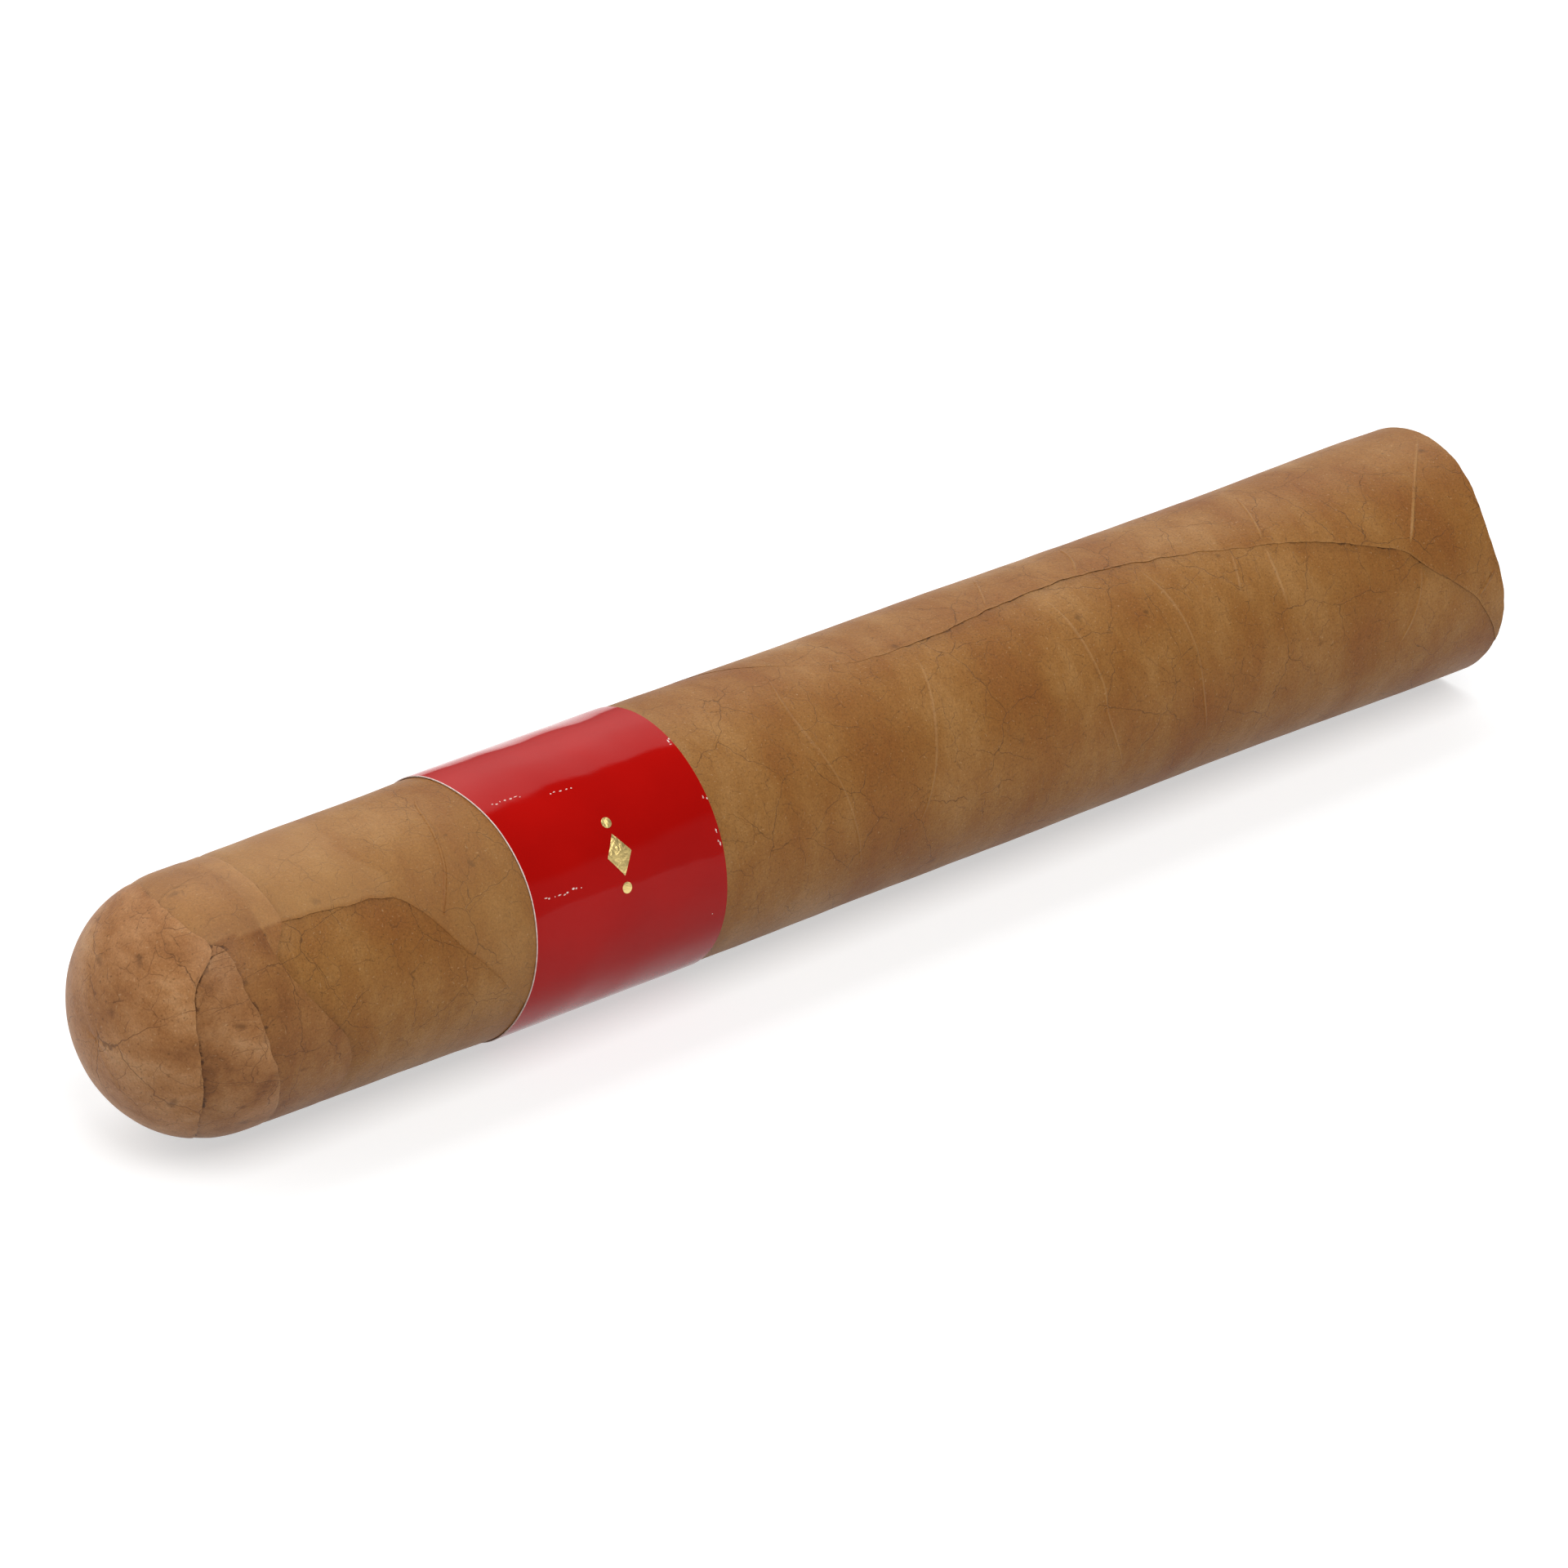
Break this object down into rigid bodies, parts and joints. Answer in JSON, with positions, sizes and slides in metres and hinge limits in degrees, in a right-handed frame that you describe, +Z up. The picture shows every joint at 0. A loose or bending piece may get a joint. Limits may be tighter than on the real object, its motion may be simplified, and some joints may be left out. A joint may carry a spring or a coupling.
{
  "type": "cigar",
  "caption": "Straight hand-rolled cigar with a rounded capped head, open cut foot, spiral leaf wrapper over binder and folded filler leaves, and a glossy red paper band that slides on it.",
  "frame": {"origin": "on the surface the cigar lies on, below the middle of its length and width", "axes": "+X along the cigar from the closed head to the cut foot, +Z up, +Y across"},
  "size_m": [0.127, 0.0206, 0.0203],
  "materials": {
    "volado_leaf": "thin light brown cured leaf, matte",
    "seco_leaf": "brown cured leaf, matte",
    "ligero_leaf": "thick dark cured leaf, matte",
    "binder_leaf": "coarse brown cured leaf, matte",
    "wrapper_leaf": "smooth tan cured leaf with fine veins, faint oily sheen",
    "cap_leaf": "smooth reddish tan cured leaf, gummed down, faint sheen",
    "band_paper": "red printed coated paper, glossy"
  },
  "bodies": {
    "cigar": {"filler_volado_1": "volado_leaf", "filler_volado_2": "volado_leaf", "filler_seco_1": "seco_leaf", "filler_seco_2": "seco_leaf", "filler_seco_3": "seco_leaf", "filler_ligero_1": "ligero_leaf", "filler_ligero_2": "ligero_leaf", "binder_inner": "binder_leaf", "binder_outer": "binder_leaf", "wrapper": "wrapper_leaf", "cap_lower": "cap_leaf", "cap_middle": "cap_leaf", "cap_disc": "cap_leaf"},
    "band": {"band": "band_paper"}
  },
  "joints": [
    {"name": "band_slide", "type": "slide", "parent": "cigar", "child": "band", "axis": [1, 0, 0], "range_m": [-0.051, 0.061]}
  ]
}
